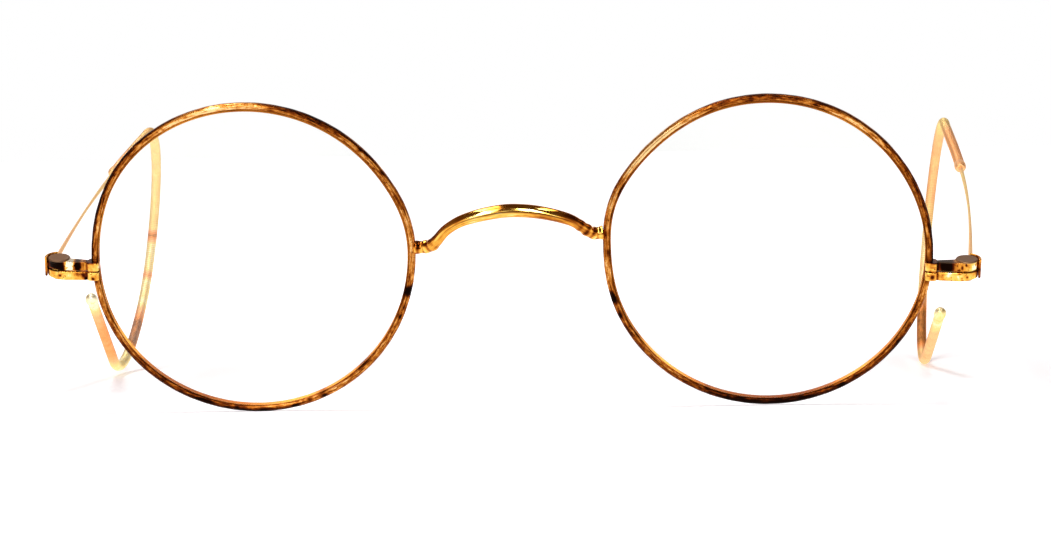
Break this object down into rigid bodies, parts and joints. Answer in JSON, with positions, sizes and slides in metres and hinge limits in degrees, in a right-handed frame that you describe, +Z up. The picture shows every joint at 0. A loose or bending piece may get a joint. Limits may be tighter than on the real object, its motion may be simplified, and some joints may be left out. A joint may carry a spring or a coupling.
{
  "type": "round eyeglasses",
  "caption": "Round wire-rim eyeglasses with clear glass lenses, a saddle bridge and folding cable temples that curl behind the ears.",
  "frame": {"origin": "On the table, under the middle of the box round the whole pair", "axes": "+X along the front to the viewer's right, +Y back towards the ears, +Z up from the table"},
  "size_m": [0.1236, 0.109, 0.039],
  "materials": {
    "rim_gold": "tarnished gold-filled wire, brown with dark spots",
    "bright_gold": "polished gold-filled metal, worn and pitted",
    "pale_gold": "pale gold-filled wire, satin",
    "screw_brass": "dull worn metal",
    "lens_glass": "clear polished glass"
  },
  "bodies": {
    "front": {"bridge": "bright_gold", "left_eyewire": "rim_gold", "left_lens": "lens_glass", "left_upper_lug": "bright_gold", "left_lower_lug": "bright_gold", "left_hinge_screw": "screw_brass", "right_eyewire": "rim_gold", "right_lens": "lens_glass", "right_upper_lug": "bright_gold", "right_lower_lug": "bright_gold", "right_hinge_screw": "screw_brass"},
    "left_temple": {"left_temple_butt": "bright_gold", "left_temple_wire": "pale_gold", "left_ferrule": "pale_gold", "left_cable_core": "pale_gold", "left_cable": "pale_gold", "left_end_tip": "pale_gold"},
    "right_temple": {"right_temple_butt": "bright_gold", "right_temple_wire": "pale_gold", "right_ferrule": "pale_gold", "right_cable_core": "pale_gold", "right_cable": "pale_gold", "right_end_tip": "pale_gold"}
  },
  "joints": [
    {"name": "left_temple_hinge", "type": "hinge", "parent": "front", "child": "left_temple", "pos_m": [-0.05491, -0.04656, 0.01886], "axis": [-0.0401, 0.3195, -0.9467], "range_deg": [-4, 86]},
    {"name": "right_temple_hinge", "type": "hinge", "parent": "front", "child": "right_temple", "pos_m": [0.0583, -0.04593, 0.017], "axis": [0.0401, -0.3195, 0.9467], "range_deg": [-4, 78]}
  ]
}
